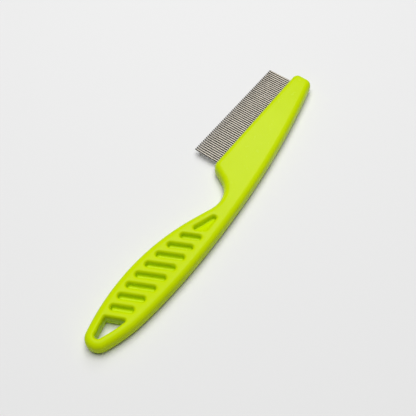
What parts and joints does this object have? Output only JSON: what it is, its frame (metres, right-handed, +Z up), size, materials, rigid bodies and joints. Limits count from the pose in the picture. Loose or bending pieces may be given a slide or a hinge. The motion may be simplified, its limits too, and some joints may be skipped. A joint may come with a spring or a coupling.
{
  "type": "flea comb",
  "caption": "Pet comb with one row of fine round steel pins, moulded into a flat tapering handle with slanted grip slots, a thumb recess and a hanging hole.",
  "frame": {"origin": "under the middle of the comb's bounding box, on the flat face that it rests on", "axes": "+X along the row of pins, from the grip to the tip; +Y towards the points of the pins; +Z up, out of the flat face"},
  "size_m": [0.1786, 0.0396, 0.008],
  "materials": {
    "handle_plastic": "satin moulded lime green, dyed through",
    "bar_plastic": "as moulded, hidden inside the handle",
    "pin_steel": "polished stainless wire"
  },
  "bodies": {
    "root": {"handle": "handle_plastic", "pin_bar": "bar_plastic", "pin_01": "pin_steel", "pin_02": "pin_steel", "pin_03": "pin_steel", "pin_04": "pin_steel", "pin_05": "pin_steel", "pin_06": "pin_steel", "pin_07": "pin_steel", "pin_08": "pin_steel", "pin_09": "pin_steel", "pin_10": "pin_steel", "pin_11": "pin_steel", "pin_12": "pin_steel", "pin_13": "pin_steel", "pin_14": "pin_steel", "pin_15": "pin_steel", "pin_16": "pin_steel", "pin_17": "pin_steel", "pin_18": "pin_steel", "pin_19": "pin_steel", "pin_20": "pin_steel", "pin_21": "pin_steel", "pin_22": "pin_steel", "pin_23": "pin_steel", "pin_24": "pin_steel", "pin_25": "pin_steel", "pin_26": "pin_steel", "pin_27": "pin_steel", "pin_28": "pin_steel", "pin_29": "pin_steel", "pin_30": "pin_steel", "pin_31": "pin_steel", "pin_32": "pin_steel", "pin_33": "pin_steel", "pin_34": "pin_steel", "pin_35": "pin_steel", "pin_36": "pin_steel", "pin_37": "pin_steel", "pin_38": "pin_steel", "pin_39": "pin_steel", "pin_40": "pin_steel", "pin_41": "pin_steel", "pin_42": "pin_steel", "pin_43": "pin_steel", "pin_44": "pin_steel", "pin_45": "pin_steel", "pin_46": "pin_steel", "pin_47": "pin_steel", "pin_48": "pin_steel", "pin_49": "pin_steel", "pin_50": "pin_steel", "pin_51": "pin_steel", "pin_52": "pin_steel", "pin_53": "pin_steel"}
  },
  "joints": []
}
